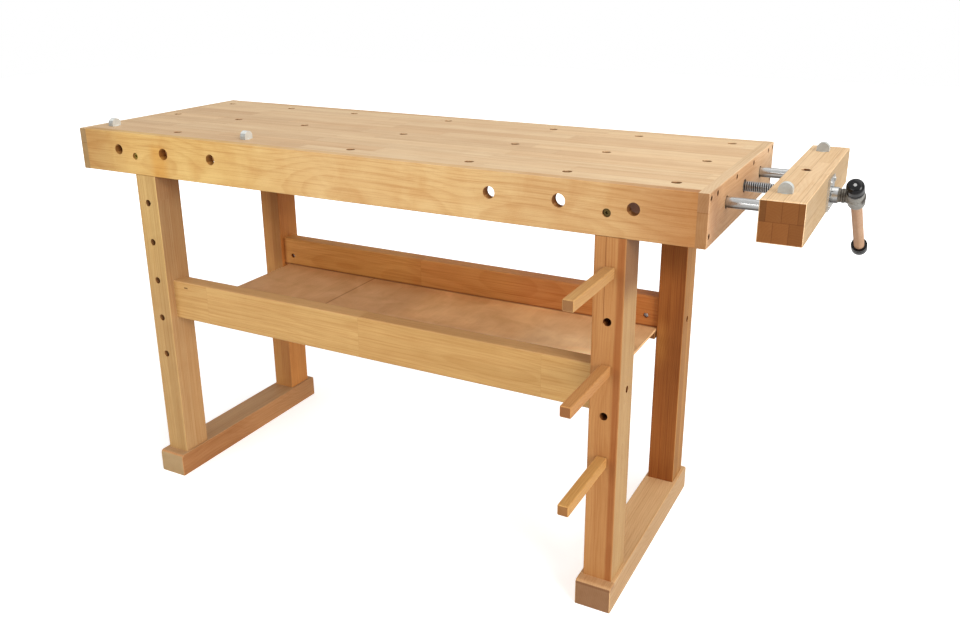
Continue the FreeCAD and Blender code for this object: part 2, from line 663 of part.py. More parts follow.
def make_stretchers():
    for label, y in (("front_stretcher", "stretcher_inset"), ("back_stretcher", "back_stretcher")):
        rail = board(label, "stretcher_start", y, "stretcher_rise",
                     "stretcher_length", "stretcher_thickness", "stretcher_height")
        middle = ("stretcher_thickness / 2", "stretcher_height / 2")
        for start, backwards in (("0", False), ("stretcher_length", True)):
            drill(rail, "X", [middle], "bolt + 2 * bore_fit",
                  "barrel_set + bolt_past_nut + 2 * seat_gap", start, backwards)
            dowels = [(middle[0], "%s %s dowel_spacing / 2" % (middle[1], sign)) for sign in "-+"]
            drill(rail, "X", dowels, "dowel", "dowel_length / 2", start, backwards)
        inner = "stretcher_thickness" if label == "front_stretcher" else "0"
        nuts = [("barrel_set", middle[1]), ("stretcher_length - barrel_set", middle[1])]
        drill(rail, "Y", nuts, "barrel_nut + 2 * bore_fit",
              "(stretcher_thickness + barrel_nut_length) / 2", inner, label == "front_stretcher")
        ease(rail, lambda edge, whole: edge.XLength > whole.XLength / 2, "stretcher_round", "Fillet")


def hex_socket(across, depth, x, y, z, axis="Z"):
    """A six-sided prism to cut a socket with; one end is at x, y, z."""
    prism = doc.addObject("Part::Prism", "Socket")
    prism.Polygon = 6
    prism.Placement = FreeCAD.Placement(FreeCAD.Vector(), TURNS[axis])
    bind(prism, "Circumradius", "%s / sqrt(3)" % across)
    bind(prism, "Height", depth)
    bind(prism, "Placement.Base.x", x)
    bind(prism, "Placement.Base.y", y)
    bind(prism, "Placement.Base.z", z)
    return prism


def furniture_bolt(seat, length, inward):
    """A socket-head bolt along X from the seat of its head, inward being +1 or -1."""
    start = seat if inward > 0 else "%s - (%s)" % (seat, length)
    head_start = "%s - bolt_head_height" % seat if inward > 0 else seat
    socket_start = head_start if inward > 0 else "%s + bolt_head_height - socket_depth" % seat
    shank = cylinder("bolt", length, start, axis="X")
    head = cylinder("bolt_head", "bolt_head_height", head_start, axis="X")
    socket = hex_socket("bolt_socket", "socket_depth", socket_start, "0", "0", "X")
    return minus(fuse([shank, head]), [socket])


def moved(thing, x="0", y="0", z="0"):
    bind(thing, "Placement.Base.x", x)
    bind(thing, "Placement.Base.y", y)
    bind(thing, "Placement.Base.z", z)
    return thing


def make_stretcher_fastenings():
    reach = "leg_width - bolt_sink + barrel_set + bolt_past_nut"
    rows = ["stretcher_inset + stretcher_thickness / 2", "back_stretcher + stretcher_thickness / 2"]
    bolts, nuts, dowels = [], [], []
    ends = (("left_frame - leg_width / 2 + bolt_sink", "stretcher_start", 1),
            ("right_frame + leg_width / 2 - bolt_sink", "stretcher_start + stretcher_length", -1))
    for seat, joint, inward in ends:
        for y in rows:
            bolts.append(moved(furniture_bolt(seat, reach, inward), y=y, z="stretcher_middle"))
            at = "%s + %d * barrel_set" % (joint, inward)
            nut = cylinder("barrel_nut", "barrel_nut_length", "0", "-barrel_nut_length / 2", "0", "Y")
            hole = cylinder("bolt", "2 * barrel_nut", "-barrel_nut", "0", "0", "X")
            nuts.append(moved(minus(nut, [hole]), at, y, "stretcher_middle"))
            for sign in "-+":
                level = "stretcher_middle %s dowel_spacing / 2" % sign
                dowels.append(cylinder("dowel", "dowel_length - 2 * seat_gap",
                                       "%s - dowel_length / 2 + seat_gap" % joint, y, level, "X"))
    node(put(group(bolts), "0", "0", "0"), "stretcher_bolts")
    node(put(group(nuts), "0", "0", "0"), "barrel_nuts")
    node(put(group(dowels), "0", "0", "0"), "stretcher_dowels")


def make_apron_bolts():
    bolts = []
    for x in apron_bolts():
        shank = cylinder("bolt", "apron_bolt_length", x, "apron_bolt_sink",
                         "bench_height - apron_bolt_drop", "Y")
        head = cylinder("bolt_head", "bolt_head_height", x, "apron_bolt_sink - bolt_head_height",
                        "bench_height - apron_bolt_drop", "Y")
        socket = hex_socket("bolt_socket", "socket_depth", x, "apron_bolt_sink - bolt_head_height",
                            "bench_height - apron_bolt_drop", "Y")
        bolts.append(minus(fuse([shank, head]), [socket]))
    node(put(group(bolts), "0", "0", "0"), "apron_bolts")


def make_shelf():
    start = "stretcher_start + shelf_left_gap"
    front = "stretcher_inset + stretcher_thickness"
    width = "back_stretcher - stretcher_inset - stretcher_thickness"
    board("shelf_panel", start, front, "shelf_under",
          "shelf_length", width, "shelf_thickness")
    cleats = [block("shelf_length", "cleat_width", "cleat_height", start, y, "stretcher_rise")
              for y in (front, "back_stretcher - cleat_width")]
    node(put(group(cleats), "0", "0", "0"), "shelf_cleats")


# ---- end vise: pieces that stay on the bench ----

def thread_solid(clear):
    """The threaded rod along Z from 0, made larger by a clearance for the nut to be cut with."""
    length = size("screw_reach") - 1
    pitch = size("thread_pitch")
    outside = size("vise_screw") / 2 + clear
    root = outside - size("thread_depth")
    half_root = size("thread_root") / 2 - clear
    half_mouth = size("thread_mouth") / 2 - clear
    beyond = outside + 0.5
    corners = [(root, -half_root), (beyond, -half_mouth), (beyond, half_mouth), (root, half_root)]
    points = [FreeCAD.Vector(radius, 0, along) for radius, along in corners]
    profile = Part.makePolygon(points + points[:1])
    helix = Part.makeLongHelix(pitch, length + 2 * pitch, root, 0, False)
    groove = Part.Wire(helix.Edges).makePipeShell([Part.Wire(profile.Edges)], True, True)
    groove.translate(FreeCAD.Vector(0, 0, -2 * pitch))
    return Part.makeCylinder(outside, length).cut(groove)


def on_vise_axis(shape):
    """Lay a shape made along Z onto the vise screw's axis, from the screw's inner end."""
    start = FreeCAD.Vector(-size("jaw_width") - size("screw_reach"), 0, 0)
    shape.Placement = FreeCAD.Placement(start, Z_TO_X)
    return shape


def spindle_turn():
    """The rest position of everything that turns: the handle bar leans towards the front."""
    return FreeCAD.Rotation(X_AXIS, size("bar_tilt"))


def make_vise_nut():
    plate = block("nut_plate_thickness", "nut_plate", "nut_plate_height",
                  "-nut_plate_thickness", "-nut_plate / 2", "-nut_plate_height / 2")
    boss = cylinder("nut_boss", "nut_length", "-nut_length", "0", "0", "X")
    holes = []
    for a in "-+":
        for b in "-+":
            holes.append(cylinder("small_screw + 2 * bore_fit", "2 * nut_plate_thickness",
                                  "-nut_plate_thickness * 1.5",
                                  "%s(nut_plate / 2 - plate_screw_inset)" % a,
                                  "%s(nut_plate_height / 2 - plate_screw_inset)" % b, "X"))
    blank = minus(fuse([plate, boss]), holes)
    doc.recompute()
    rod = on_vise_axis(thread_solid(size("thread_clear")))
    rod.rotate(FreeCAD.Vector(), X_AXIS, size("bar_tilt"))
    rod.translate(FreeCAD.Vector(size("jaw_outside") - size("cap_inside"), 0, 0))
    nut = doc.addObject("Part::Feature", "Nut")
    nut.Shape = blank.Shape.cut(rod)
    put(nut, "cap_inside", "middle_y", "vise_axis")
    return node(nut, "vise_nut")


def make_bushings():
    pieces = []
    for side in "-+":
        plate = block("bushing_plate_thickness", "bushing_plate", "nut_plate_height",
                      "-bushing_plate_thickness", "-bushing_plate / 2", "-nut_plate_height / 2")
        barrel = cylinder("guide_rod + 2 * bushing_wall", "bushing_length",
                          "-bushing_length", "0", "0", "X")
        bore = cylinder("guide_rod + 2 * slide_fit", "2 * bushing_length",
                        "-1.5 * bushing_length", "0", "0", "X")
        holes = [cylinder("small_screw + 2 * bore_fit", "2 * bushing_plate_thickness",
                          "-1.5 * bushing_plate_thickness",
                          "%s(bushing_plate / 2 - plate_screw_inset)" % way, "0", "X")
                 for way in "-+"]
        piece = minus(fuse([plate, barrel]), [bore] + holes)
        pieces.append(moved(piece, "cap_inside", "middle_y %s guide_spacing" % side, "vise_axis"))
    node(put(group(pieces), "0", "0", "0"), "rod_bushings")


def make_plate_screws():
    nut = [screw_along(y, z, "cap_inside - nut_plate_thickness", 1, "small_screw")
           for y, z in plate_screw_spots("vise_axis")]
    bushing = [screw_along(y, z, "cap_inside - bushing_plate_thickness", 1, "small_screw")
               for y, z in bushing_screw_spots("vise_axis")]
    node(put(group(nut), "0", "0", "0"), "nut_screws")
    node(put(group(bushing), "0", "0", "0"), "bushing_screws")


# ---- end vise: the jaw and what slides with it ----

def jaw_dogs():
    return ["middle_y %s jaw_dog_pitch" % side for side in "-+"]


def make_jaw():
    jaw = board("vise_jaw", "jaw_face", "jaw_front", "jaw_under",
                "jaw_width", "jaw_length", "jaw_height")
    level = "vise_axis - jaw_under"
    middle = "jaw_length / 2"
    rods = ["%s %s guide_spacing" % (middle, side) for side in "-+"]
    drill(jaw, "X", [(y, level) for y in rods], "guide_rod + 2 * bore_fit", "rod_in_jaw + seat_gap")
    drill(jaw, "X", [(middle, level)], "retaining_ring + 2 * recess_clear", "recess_depth")
    drill(jaw, "X", [(middle, level)], "vise_screw + 2 * turn_clear")
    dogs = [("jaw_dog_inset", "%s %s jaw_dog_pitch" % (middle, side)) for side in "-+"]
    drill(jaw, "Z", dogs, "dog_hole")
    drill(jaw, "Z", [("jaw_dog_inset", middle)], "dog_hole", "vise_drop - vise_screw / 2 - dog_hole_floor",
          "jaw_height", True)
    drill(jaw, "Z", [("rod_pin_set", y) for y in rods], "rod_pin + 2 * bore_fit",
          "rod_pin_length + seat_gap")
    reach = "(flange / 2 - plate_screw_inset)"
    screws = [("%s %s %s" % (middle, a, reach), "%s + flange_rise %s %s" % (level, b, reach))
              for a in "-+" for b in "-+"]
    drill(jaw, "X", screws, "small_screw + 2 * bore_fit", "small_screw_length + seat_gap",
          "jaw_width", True)
    ease(jaw, lambda edge, whole: True)


def make_flange():
    plate = block("flange_thickness", "flange", "flange",
                  "0", "-flange / 2", "flange_rise - flange / 2")
    holes = [cylinder("vise_screw + 2 * turn_clear", "2 * flange_thickness",
                      "-flange_thickness / 2", "0", "0", "X")]
    screws = []
    for a in "-+":
        for b in "-+":
            y = "%s(flange / 2 - plate_screw_inset)" % a
            z = "flange_rise %s (flange / 2 - plate_screw_inset)" % b
            holes.append(cylinder("small_screw + 2 * bore_fit", "2 * flange_thickness",
                                  "-flange_thickness / 2", y, z, "X"))
            shank = cylinder("small_screw", "small_screw_length + flange_thickness",
                             "-small_screw_length", y, z, "X")
            head = cylinder("small_screw_head", "small_screw_head_height",
                            "flange_thickness", y, z, "X")
            screws.append(fuse([shank, head]))
    node(put(minus(plate, holes), "jaw_outside", "middle_y", "vise_axis"), "jaw_flange")
    node(put(group(screws), "jaw_outside", "middle_y", "vise_axis"), "flange_screws")


def make_guide_rods():
    length = "rod_reach + rod_in_jaw"
    pins = []
    for label, side in (("guide_rod_front", "-"), ("guide_rod_back", "+")):
        y = "middle_y %s guide_spacing" % side
        rod = cylinder("guide_rod", length, "-rod_reach", "0", "0", "X")
        hole = cylinder("rod_pin + 2 * bore_fit", "2 * guide_rod", "rod_pin_set", "0", "-guide_rod")
        node(put(minus(rod, [hole]), "jaw_face", y, "vise_axis"), label)
        pins.append(cylinder("rod_pin", "rod_pin_length", "jaw_face + rod_pin_set", y, "jaw_under"))
    node(put(group(pins), "0", "0", "0"), "rod_pins")


# ---- end vise: what turns with the screw; the handle bar stands along Z until it is placed ----

def place_spindle(thing, label):
    return node(put(thing, "jaw_outside", "middle_y", "vise_axis", spindle_turn()), label)


def pin_shape(diameter, length, along):
    """A pin across the screw, upright on the bench."""
    start = FreeCAD.Vector(along, 0, -length / 2)
    return Part.makeCylinder(diameter / 2, length, start, Z_AXIS)


def in_code(shape):
    """A shape made in code, its own placement taken up in its geometry."""
    moves = shape.Placement.toMatrix()
    shape.Placement = FreeCAD.Placement()
    thing = doc.addObject("Part::Feature", "Shape")
    thing.Shape = shape.transformed(moves, True)
    return thing


def make_vise_screw():
    thread = on_vise_axis(thread_solid(0))
    radius = size("vise_screw") / 2
    plain_start = -size("jaw_width") - 1
    shoulder = size("spigot_start")
    plain = Part.makeCylinder(radius, shoulder - plain_start,
                              FreeCAD.Vector(plain_start, 0, 0), X_AXIS)
    spigot = Part.makeCylinder(size("spigot") / 2, size("spigot_length"),
                               FreeCAD.Vector(shoulder, 0, 0), X_AXIS)
    screw = thread.fuse([plain, spigot])
    fit = 2 * size("bore_fit")
    for diameter, along in ((size("ring_pin"), ring_middle()), (size("hub_pin"), hub_pin_middle())):
        screw = screw.cut(upright_pin(diameter + fit, 2 * radius + 10, along))
    place_spindle(in_code(screw), "vise_screw")


def ring_middle():
    return -size("jaw_width") + size("recess_depth") - size("seat_gap") - size("retaining_ring_length") / 2


def hub_pin_middle():
    return size("spigot_start") + size("spigot_length") / 2


def upright_pin(diameter, length, along):
    pin = pin_shape(diameter, length, along)
    pin.rotate(FreeCAD.Vector(), X_AXIS, -size("bar_tilt"))
    return pin


def make_retaining_ring():
    fit = 2 * size("bore_fit")
    length = size("retaining_ring_length")
    start = FreeCAD.Vector(ring_middle() - length / 2, 0, 0)
    outer = size("retaining_ring")
    ring = Part.makeCylinder(outer / 2, length, start, X_AXIS)
    ring = ring.cut(Part.makeCylinder((size("vise_screw") + fit) / 2, length, start, X_AXIS))
    ring = ring.cut(upright_pin(size("ring_pin") + fit, outer + 10, ring_middle()))
    place_spindle(in_code(ring), "retaining_ring")
    place_spindle(in_code(upright_pin(size("ring_pin"), outer - 1, ring_middle())), "ring_pin")


def make_collar():
    tube = cylinder("collar", "collar_length", "flange_thickness + seat_gap", "0", "0", "X")
    bore = cylinder("vise_screw + 2 * bore_fit", "2 * collar_length", "0", "0", "0", "X")
    place_spindle(minus(tube, [bore]), "screw_collar")


def ring_groove(diameter, depth, width, at, axis):
    """A groove round a cylinder of that diameter, to cut with; at is its start along the axis."""
    x, z = (at, "0") if axis == "X" else ("0", at)
    outer = cylinder("%s + 2" % diameter, width, x, "0", z, axis)
    inner = cylinder("%s - 2 * %s" % (diameter, depth), width, x, "0", z, axis)
    return minus(outer, [inner])


def make_hub():
    neck = cylinder("hub_neck", "hub_reach - spigot_start", "spigot_start", "0", "0", "X")
    ball = doc.addObject("Part::Sphere", "Ball")
    bind(ball, "Radius", "hub_ball / 2")
    bind(ball, "Placement.Base.x", "hub_reach")
    barrel = cylinder("hub_barrel", "hub_barrel_length", "hub_reach", "0", "-hub_barrel_length / 2")
    grooves = [ring_groove("hub_neck", "neck_groove", "neck_groove_width",
                           "spigot_start + %d * 2 * neck_groove_width" % step, "X")
               for step in (1, 2, 3)]
    bar_hole = cylinder("bar_round + 2 * turn_clear", "2 * hub_barrel_length",
                        "hub_reach", "0", "-hub_barrel_length")
    socket = cylinder("spigot + 2 * bore_fit", "spigot_length + seat_gap",
                      "spigot_start", "0", "0", "X")
    pin_hole = in_code(upright_pin(size("hub_pin") + 2 * size("bore_fit"),
                                   size("hub_neck") + 10, hub_pin_middle()))
    hub = minus(fuse([minus(neck, grooves), ball, barrel]), [bar_hole, socket, pin_hole])
    place_spindle(hub, "handle_hub")
    place_spindle(in_code(upright_pin(size("hub_pin"), size("hub_neck"), hub_pin_middle())), "hub_pin")


def rounded_end(diameter, length, radius):
    """A cylinder along Z from 0 with its far edge rounded."""
    solid = Part.makeCylinder(diameter / 2, length)
    edge = [e for e in solid.Edges if e.BoundBox.ZMin > length - NEAR]
    return solid.makeFillet(radius, edge)


def knob_shape():
    """A knob along Z from 0, open at 0 for the bar."""
    fit = size("bore_fit")
    diameter, length, depth = size("knob"), size("knob_length"), size("knob_groove")
    solid = rounded_end(diameter, length, size("knob_dome"))
    width = size("knob_groove_width")
    ring = Part.makeCylinder(diameter, width, FreeCAD.Vector(0, 0, size("knob_rim")))
    ring = ring.cut(Part.makeCylinder(diameter / 2 - depth, width,
                                      FreeCAD.Vector(0, 0, size("knob_rim"))))
    solid = solid.cut(ring)
    solid = solid.cut(Part.makeCylinder(size("bar_round") / 2 + fit, size("knob_socket") + size("seat_gap")))
    solid = solid.cut(Part.makeCylinder(size("small_screw") / 2 + fit, length))
    head = size("small_screw_head_height")
    solid = solid.cut(Part.makeCylinder(size("knob_screw_head") / 2 + fit, head,
                                        FreeCAD.Vector(0, 0, length - head)))
    return solid


def knob_screw_shape():
    length, head = size("knob_length"), size("small_screw_head_height")
    shank = size("knob_screw_length")
    top = FreeCAD.Vector(0, 0, length - head)
    screw = Part.makeCylinder(size("knob_screw_head") / 2, head, top)
    return screw.fuse(Part.makeCylinder(size("small_screw") / 2, shank,
                                        top - FreeCAD.Vector(0, 0, shank)))


def on_bar(shape, at, down=False):
    """Move a shape made along Z onto the bar, pointing up it or down it."""
    if down:
        shape.rotate(FreeCAD.Vector(), X_AXIS, 180)
    shape.translate(FreeCAD.Vector(size("hub_reach"), 0, at))
    return shape


def make_handle():
    low, high = -size("bar_below"), size("knob_seat")
    socket = size("knob_socket")
    bar = Part.makeCylinder(size("bar_round") / 2, high - low + 2 * socket,
                            FreeCAD.Vector(size("hub_reach"), 0, low - socket))
    for at, down in ((high, False), (low, True)):
        pilot = Part.makeCylinder(size("small_screw") / 2 + size("bore_fit"), size("knob_length"))
        bar = bar.cut(on_bar(pilot, at, down))
    place_spindle(in_code(bar), "handle_bar")
    place_spindle(in_code(on_bar(knob_shape(), high)), "handle_knob")
    place_spindle(in_code(on_bar(knob_shape(), low, True)), "handle_cap")
    screws = [on_bar(knob_screw_shape(), high), on_bar(knob_screw_shape(), low, True)]
    place_spindle(in_code(Part.makeCompound(screws)), "knob_screws")


# ---- bench dogs and pegs ----

def make_dog(label, x, y, turn=NO_TURN):
    post = cylinder("dog_hole - 2 * dog_post_clear", "dog_post_length", "0", "0", "-dog_post_length")
    base = block("dog_head_width", "dog_head_depth", "dog_head_height - dog_head_depth / 2",
                 "-dog_head_width / 2", "-dog_head_depth / 2", "0")
    arch = cylinder("dog_head_depth", "dog_head_width", "-dog_head_width / 2", "0",
                    "dog_head_height - dog_head_depth / 2", "X")
    under = block("2 * dog_head_depth", "2 * dog_head_depth", "dog_head_depth",
                  "-dog_head_depth", "-dog_head_depth", "-dog_head_depth")
    head = fuse([base, minus(arch, [under])])
    node(put(fuse([head, post]), x, y, "bench_height + seat_gap", turn), label)


def make_dogs():
    columns, row = dog_columns(), dog_rows()[0]
    make_dog("bench_dog_left", columns[0], row)
    make_dog("bench_dog_right", columns[2], row)
    front, back = jaw_dogs()
    make_dog("jaw_dog_front", "jaw_face + jaw_dog_inset", front, QUARTER_TURN)
    make_dog("jaw_dog_back", "jaw_face + jaw_dog_inset", back, QUARTER_TURN)


def make_pegs():
    for label, step in (("peg_upper", 0), ("peg_middle", 2), ("peg_lower", 4)):
        level = "peg_top - %d * peg_pitch" % step
        peg = board(label, "right_frame - peg_square / 2", "-peg_length - seat_gap",
                    "%s - peg_square / 2" % level, "peg_square", "peg_length", "peg_square")
        ease(peg, lambda edge, whole: True, "peg_chamfer")
        sketch = sketch_across(peg, "Y", "peg_length")
        circle(sketch, "peg_square / 2", "peg_square / 2", "peg_hole - 2 * peg_clear")
        grow(peg, "Y", sketch, "peg_tenon_length + seat_gap")


# ---- build, check and write ----

def check():
    for thing in doc.Objects:
        if "Invalid" in thing.State or "Error" in thing.State:
            raise RuntimeError("%s (%s) is not computed" % (thing.Label, thing.Name))
    for thing in nodes:
        if thing.Shape.isNull() or not thing.Shape.isValid() or not thing.Shape.Solids:
            raise RuntimeError("%s has no valid solid" % thing.Label)


fill_sheet()
make_worktop()
make_aprons()
make_end_caps()
make_end_cap_screws()
make_legs()
make_feet()
make_rails()
make_rail_screws()
make_stretchers()
make_stretcher_fastenings()
make_apron_bolts()
make_shelf()
make_vise_nut()
make_bushings()
make_plate_screws()
make_jaw()
make_flange()
make_guide_rods()
make_vise_screw()
make_retaining_ring()
make_collar()
make_hub()
make_handle()
make_dogs()
make_pegs()
doc.recompute()
check()
os.makedirs("parts", exist_ok=True)
for thing in nodes:
    thing.Shape.exportStep("parts/%s.step" % thing.Label)
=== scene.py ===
import math

import bpy
from mathutils import Matrix, Vector

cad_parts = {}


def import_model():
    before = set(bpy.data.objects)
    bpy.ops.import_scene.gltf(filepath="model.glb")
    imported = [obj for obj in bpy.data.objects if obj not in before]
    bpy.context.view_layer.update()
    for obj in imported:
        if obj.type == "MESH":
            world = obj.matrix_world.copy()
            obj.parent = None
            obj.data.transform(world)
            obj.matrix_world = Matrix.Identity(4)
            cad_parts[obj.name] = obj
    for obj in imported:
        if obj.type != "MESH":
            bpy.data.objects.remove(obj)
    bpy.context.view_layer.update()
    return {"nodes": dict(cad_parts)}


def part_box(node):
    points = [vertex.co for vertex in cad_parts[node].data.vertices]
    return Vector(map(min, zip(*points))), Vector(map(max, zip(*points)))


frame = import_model()
nodes = frame["nodes"]


# ---- node-building helpers ----

class Shader:
    """A material's node tree, with short calls for the maths that the patterns need."""

    def __init__(self, name, **settings):
        self.material = bpy.data.materials.new(name)
        self.material.use_nodes = True
        self.tree = self.material.node_tree
        self.surface = self.tree.nodes["Principled BSDF"]
        for socket, value in settings.items():
            self.surface.inputs[socket.replace("_", " ")].default_value = value
        self.place = self.new("ShaderNodeTexCoord")
        split = self.new("ShaderNodeSeparateXYZ")
        self.link(self.place.outputs["Object"], split.inputs[0])
        self.xyz = {axis: self.math("MULTIPLY", split.outputs[axis], 1000) for axis in "XYZ"}

    def new(self, kind, **settings):
        node = self.tree.nodes.new(kind)
        for name, value in settings.items():
            setattr(node, name, value)
        return node

    def link(self, source, target):
        if hasattr(source, "is_output"):
            self.tree.links.new(source, target)
        else:
            target.default_value = source

    def math(self, operation, *values, clamp=False):
        node = self.new("ShaderNodeMath", operation=operation, use_clamp=clamp)
        for value, socket in zip(values, node.inputs):
            self.link(value, socket)
        return node.outputs[0]

    def vector(self, x, y, z):
        node = self.new("ShaderNodeCombineXYZ")
        for value, socket in zip((x, y, z), node.inputs):
            self.link(value, socket)
        return node.outputs[0]

    def random(self, vector):
        """Three values from 0 to 1 for each whole-numbered place."""
        node = self.new("ShaderNodeTexWhiteNoise", noise_dimensions="3D")
        self.link(vector, node.inputs["Vector"])
        split = self.new("ShaderNodeSeparateColor")
        self.link(node.outputs["Color"], split.inputs[0])
        return split.outputs

    def noise(self, vector, detail=2.0, roughness=0.5, distortion=0.0):
        node = self.new("ShaderNodeTexNoise")
        self.link(vector, node.inputs["Vector"])
        node.inputs["Scale"].default_value = 1.0
        node.inputs["Detail"].default_value = detail
        node.inputs["Roughness"].default_value = roughness
        node.inputs["Distortion"].default_value = distortion
        return node.outputs["Fac"]

    def step(self, value, low, high):
        """0 below low, 1 above high, smooth between."""
        node = self.new("ShaderNodeMapRange", interpolation_type="SMOOTHSTEP")
        self.link(value, node.inputs["Value"])
        for socket, number in zip(("From Min", "From Max"), (low, high)):
            self.link(number, node.inputs[socket])
        return node.outputs[0]

    def mix(self, share, first, second, blend="MIX"):
        node = self.new("ShaderNodeMix", data_type="RGBA", blend_type=blend)
        self.link(share, node.inputs[0])
        for colour, socket in ((first, node.inputs[6]), (second, node.inputs[7])):
            if isinstance(colour, tuple):
                colour = (*colour, 1.0)
            self.link(colour, socket)
        return node.outputs[2]

    def plain(self, colour):
        """An even colour, as an output that other nodes can take."""
        return self.mix(0.0, colour, colour)

    def shade(self, colour, value, low, high):
        """Multiply a colour by low where value is 0 and by high where it is 1."""
        factor = self.math("ADD", self.math("MULTIPLY", value, high - low), low)
        node = self.new("ShaderNodeVectorMath", operation="SCALE")
        self.link(colour, node.inputs[0])
        self.link(factor, node.inputs["Scale"])
        return node.outputs[0]

    def tint(self, colour, share, by):
        """Multiply a colour by another one, as far as share says."""
        return self.mix(share, colour, by, "MULTIPLY")

    def zone(self, value, low, high, blur):
        """1 from low to high, 0 outside, with blurred ends."""
        return self.math("MULTIPLY", self.step(value, low - blur, low + blur),
                         self.math("SUBTRACT", 1.0, self.step(value, high - blur, high + blur)))

    def within(self, zones, blur):
        """1 inside the ends given for X, Y and Z; a third number is an axis' own blur."""
        share = 1.0
        for axis, ends in zip("XYZ", zones):
            if ends:
                low, high, own = (*ends, blur)[:3]
                share = self.math("MULTIPLY", share, self.zone(self.xyz[axis], low, high, own))
        return share

    def radius(self, y, z):
        """Distance in mm from a line along X."""
        squares = [self.math("POWER", self.math("SUBTRACT", self.xyz[axis], middle), 2.0)
                   for axis, middle in (("Y", y), ("Z", z))]
        return self.math("SQRT", self.math("ADD", *squares))

    def scaled(self, size, squeeze=1.0):
        """The place in mm times size, with X times squeeze as well."""
        return self.vector(self.math("MULTIPLY", self.xyz["X"], size * squeeze),
                           self.math("MULTIPLY", self.xyz["Y"], size),
                           self.math("MULTIPLY", self.xyz["Z"], size))

    def bump(self, height, distance, strength=1.0):
        node = self.new("ShaderNodeBump")
        node.inputs["Strength"].default_value = strength
        node.inputs["Distance"].default_value = distance
        self.link(height, node.inputs["Height"])
        self.link(node.outputs[0], self.surface.inputs["Normal"])

    def normal(self, axis):
        split = self.new("ShaderNodeSeparateXYZ")
        self.link(self.place.outputs["Normal"], split.inputs[0])
        return split.outputs[axis]

    def facing(self, axis):
        """1 on faces across an axis, 0 on faces along it."""
        return self.step(self.math("ABSOLUTE", self.normal(axis)), 0.75, 0.9)

    def downward(self):
        """1 on faces that look down, 0 on those that look level or up."""
        return self.step(self.math("MULTIPLY", self.normal("Z"), -1.0), 0.05, 0.75)

    def set(self, socket, value):
        self.link(value, self.surface.inputs[socket])


